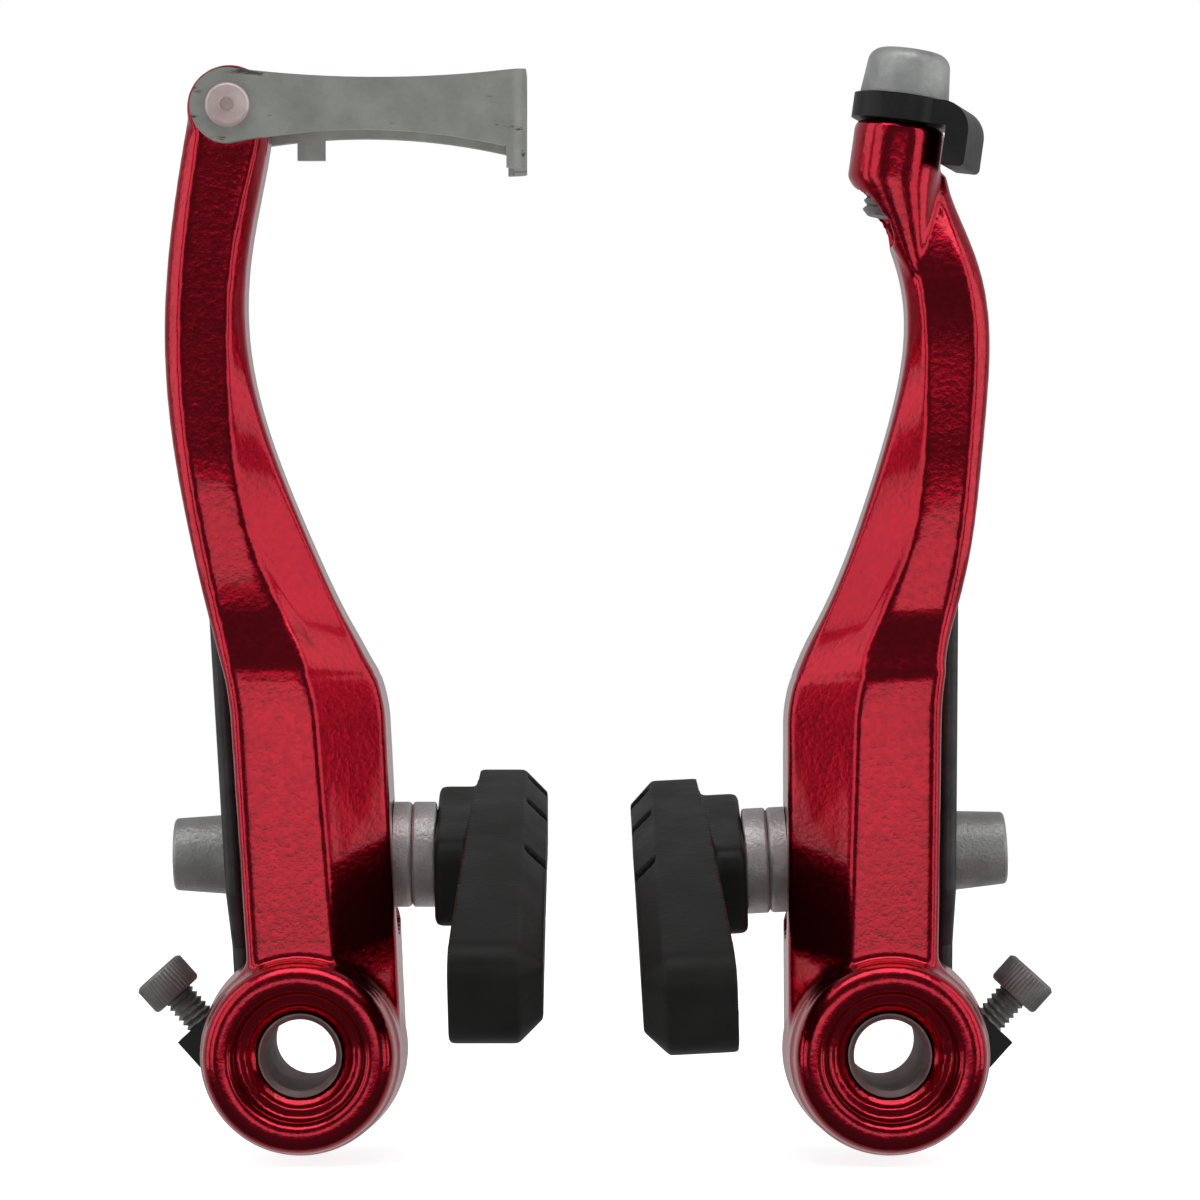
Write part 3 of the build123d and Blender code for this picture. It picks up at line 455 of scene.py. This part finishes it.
def turned(name, rings, segments, origin, axis):
    """A closed form of rings (place along the axis, radius or radius by angle), millimetres."""
    axis = Vector(axis).normalized()
    across = axis.orthogonal().normalized()
    other = axis.cross(across)
    bm = bmesh.new()
    loops = []
    for along, radius in rings:
        loop = []
        for step in range(segments):
            angle = 2.0 * pi * step / segments
            reach = radius(angle) if callable(radius) else radius
            spot = axis * along + (across * cos(angle) + other * sin(angle)) * reach
            loop.append(bm.verts.new(Vector(origin) + spot * MM))
        loops.append(loop)
    for first, last in zip(loops, loops[1:]):
        for step in range(segments):
            follow = (step + 1) % segments
            bm.faces.new((first[step], first[follow], last[follow], last[step]))
    bm.faces.new(list(reversed(loops[0])))
    bm.faces.new(loops[-1])
    bmesh.ops.recalc_face_normals(bm, faces=bm.faces)
    mesh = bpy.data.meshes.new(name)
    bm.to_mesh(mesh)
    bm.free()
    mesh.polygons.foreach_set("use_smooth", [True] * len(mesh.polygons))
    mesh.set_sharp_from_angle(angle=radians(SHARP_ANGLE))
    return mesh


def thread_rings(start, end, radius, depth, pitch):
    """Rings of a thread from start to end, eight to a turn."""
    count = int((end - start) / pitch * 8)
    places = [start + (end - start) * step / count for step in range(count + 1)]
    return [(along, thread(radius, depth, pitch, along)) for along in places]


for side, _ in SIDES:
    joint = joint_of[f"{side}_screw_turn"]
    node = f"{side}_tension_screw"
    name = f"{side}_screw_knurled"
    ridges = knurl(SCREW_HEAD_RADIUS, SCREW_KNURL_DEPTH, SCREW_KNURLS)
    rings = [
        (SCREW_SOCKET_FLOOR, hexagon(SCREW_SOCKET)),
        (-SCREW_HEAD_HALF, hexagon(SCREW_SOCKET)),
        (-SCREW_HEAD_HALF, 2.7),
        (-1.75, 2.95),
        (-1.5, ridges),
        (1.45, ridges),
        (1.75, 3.05),
        (SCREW_HEAD_HALF, 2.8),
        (SCREW_HEAD_HALF, 1.75),
    ]
    rings += thread_rings(2.0, 11.4, *SCREW_THREAD)
    rings.append((SCREW_END, 1.4))
    screw = turned(name, rings, SCREW_SEGMENTS, joint["pos_m"], joint["axis"])
    add_piece(name, screw, "plated_steel", node, node, look=screw_and_thread_shade_look)

joint = joint_of["anchor_bolt_turn"]
rings = [(BOLT_SOCKET_FLOOR, hexagon(BOLT_SOCKET)), (BOLT_HEAD_HEIGHT, hexagon(BOLT_SOCKET))]
for angle in range(90, 5, -12):
    along = BOLT_HEAD_HEIGHT - BOLT_ROUND + BOLT_ROUND * sin(radians(angle))
    rings.append((along, BOLT_ROUND_RADIUS + BOLT_ROUND * cos(radians(angle))))
rings += [(0.3, 5.118), (0.08, 5.06), (0.0, 4.9), (0.0, BOLT_RADIUS), (-6.6, BOLT_RADIUS)]
for step in range(BOLT_THREAD_RINGS):
    along = BOLT_THREAD_START + BOLT_THREAD_STEP * step
    rings.append((-along, thread(*BOLT_THREAD, along)))
rings.append((-BOLT_END, 2.35))
bolt = turned("anchor_bolt_threaded", rings, BOLT_SEGMENTS, joint["pos_m"], joint["axis"])
add_piece("anchor_bolt_threaded", bolt, "plated_steel", "anchor_bolt", "anchor_bolt", look=bolt_look)
# Painted shade: the threaded shaft of the bolt takes the darker screw steel, standing in for the shade it lies in.
bolt.materials.append(screw_and_thread_shade_look)
for polygon in bolt.polygons:
    if (polygon.center - Vector(joint["pos_m"])).dot(Vector(joint["axis"])) < -MM:
        polygon.material_index = 1


# Stage, lights and camera

def make_stage():
    """A round pale floor under the object."""
    bm = bmesh.new()
    bmesh.ops.create_circle(bm, cap_ends=True, radius=FLOOR_RADIUS, segments=96)
    mesh = bpy.data.meshes.new("stage")
    bm.to_mesh(mesh)
    bm.free()
    stage = bpy.data.objects.new("stage", mesh)
    stage.location.z = cad_box[0][2] - FLOOR_GAP
    stage.visible_glossy = False
    scene.collection.objects.link(stage)
    material, tree, shader = new_material("pale_floor")
    shader.inputs["Base Color"].default_value = (0.80, 0.80, 0.80, 1.0)
    shader.inputs["Roughness"].default_value = 0.9
    shader.inputs["Emission Color"].default_value = (1.0, 1.0, 1.0, 1.0)
    shader.inputs["Emission Strength"].default_value = 0.85
    mesh.materials.append(material)


def make_world():
    """A white room for the camera; reflections see it dark in front and paler behind."""
    world = bpy.data.worlds.new("studio")
    world.use_nodes = True
    tree = world.node_tree
    background = tree.nodes["Background"]
    coords = tree.nodes.new("ShaderNodeTexCoord")
    split = tree.nodes.new("ShaderNodeSeparateXYZ")
    tree.links.new(coords.outputs["Generated"], split.inputs["Vector"])
    spread = place(tree, "ShaderNodeMapRange")
    spread.inputs["From Min"].default_value = -1.0
    tree.links.new(split.outputs["Y"], spread.inputs["Value"])
    shades = [(0.0, grey(0.10)), (0.50, grey(0.06)), (0.72, grey(0.45))]
    depth = ramp(tree, spread.outputs["Result"], shades)
    path = tree.nodes.new("ShaderNodeLightPath")
    mix = place(tree, "ShaderNodeMix", data_type="RGBA")
    tree.links.new(path.outputs["Is Camera Ray"], mix.inputs["Factor"])
    tree.links.new(depth.outputs["Color"], mix.inputs["A"])
    mix.inputs["B"].default_value = (1.0, 1.0, 1.0, 1.0)
    tree.links.new(mix.outputs["Result"], background.inputs["Color"])
    scene.world = world


def add_light(name, spot, size_x, size_y, radiance):
    """A rectangular soft light at a spot, facing the object."""
    data = bpy.data.lights.new(name, "AREA")
    data.shape = "RECTANGLE"
    data.size = size_x
    data.size_y = size_y
    data.energy = radiance * pi * size_x * size_y
    light = bpy.data.objects.new(name, data)
    light.location = spot
    light.rotation_euler = (Vector(AIM) - Vector(spot)).to_track_quat("-Z", "Y").to_euler()
    scene.collection.objects.link(light)


make_stage()
make_world()
add_light("top_light", (0.0, -0.35, 0.80), 1.0, 0.40, 2.2)
for side, sign in SIDES:
    add_light(f"{side}_light", (sign * 0.88, -0.08, 0.33), 0.40, 1.10, 1.15)
    add_light(f"{side}_front_light", (sign * 0.72, -0.54, 0.33), 0.34, 1.10, 1.05)
add_light("front_light", (0.0, -1.30, 0.03), 0.80, 0.28, 1.15)
scene.view_settings.view_transform = "Standard"

camera_data = bpy.data.cameras.new("camera")
camera_data.sensor_width = 36.0
camera_data.angle = 2.0 * atan(FRAME_WIDTH / 2.0 / CAMERA_DISTANCE)
camera_data.clip_start = 0.01
camera = bpy.data.objects.new("camera", camera_data)
camera.location = (CAMERA_OUT, -CAMERA_DISTANCE, CAMERA_HEIGHT)
camera.rotation_euler = (radians(90.0), 0.0, 0.0)
scene.collection.objects.link(camera)
scene.camera = camera
